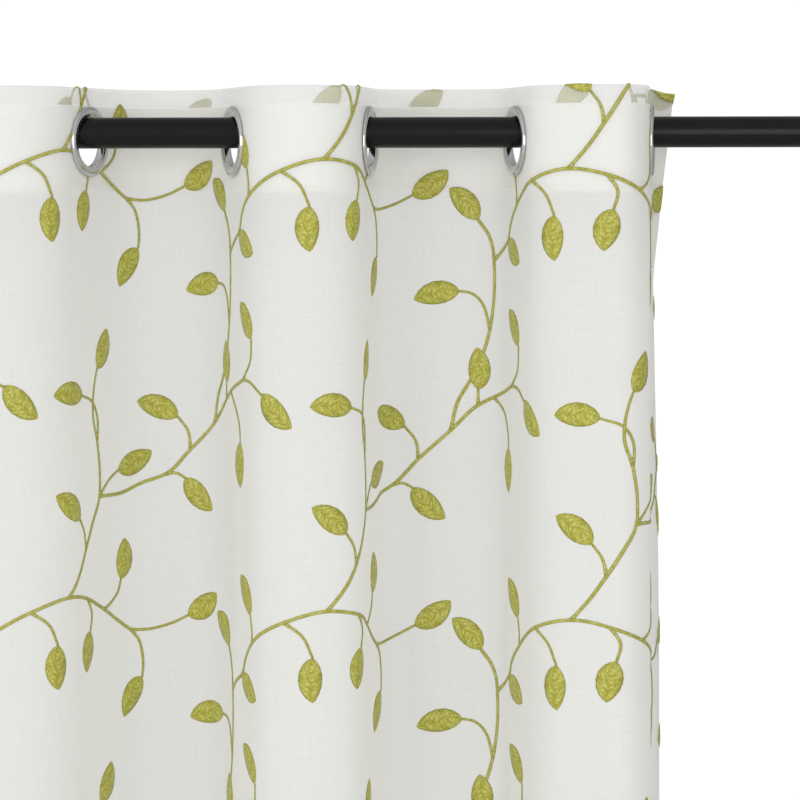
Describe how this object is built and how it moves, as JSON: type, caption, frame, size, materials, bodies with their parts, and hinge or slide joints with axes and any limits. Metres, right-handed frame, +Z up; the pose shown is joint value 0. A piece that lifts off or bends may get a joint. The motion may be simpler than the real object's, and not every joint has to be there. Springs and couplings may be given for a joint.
{
  "type": "voile curtain on rod",
  "caption": "Sheer voile curtain embroidered with a leafy vine, hung in soft folds on a round rod by chromed eyelets.",
  "frame": {"origin": "centre of the rod's left end face", "axes": "+X along the rod to its right end, -Y into the room, towards whoever looks at the curtain's face, +Z up"},
  "size_m": [1.2, 0.1377, 2.139],
  "materials": {
    "rod": "satin black lacquer",
    "voile": "sheer off-white voile with olive green embroidery",
    "heading": "plain white stiffened cotton band",
    "eyelet": "polished chrome",
    "embroidery": "olive green satin-stitch yarn"
  },
  "bodies": {
    "root": {"rod": "rod", "curtain_panel": "voile", "heading_band": "heading", "eyelet_1_front": "eyelet", "eyelet_1_back": "eyelet", "eyelet_2_front": "eyelet", "eyelet_2_back": "eyelet", "eyelet_3_front": "eyelet", "eyelet_3_back": "eyelet", "eyelet_4_front": "eyelet", "eyelet_4_back": "eyelet", "eyelet_5_front": "eyelet", "eyelet_5_back": "eyelet", "eyelet_6_front": "eyelet", "eyelet_6_back": "eyelet", "eyelet_7_front": "eyelet", "eyelet_7_back": "eyelet", "eyelet_8_front": "eyelet", "eyelet_8_back": "eyelet"}
  },
  "joints": []
}
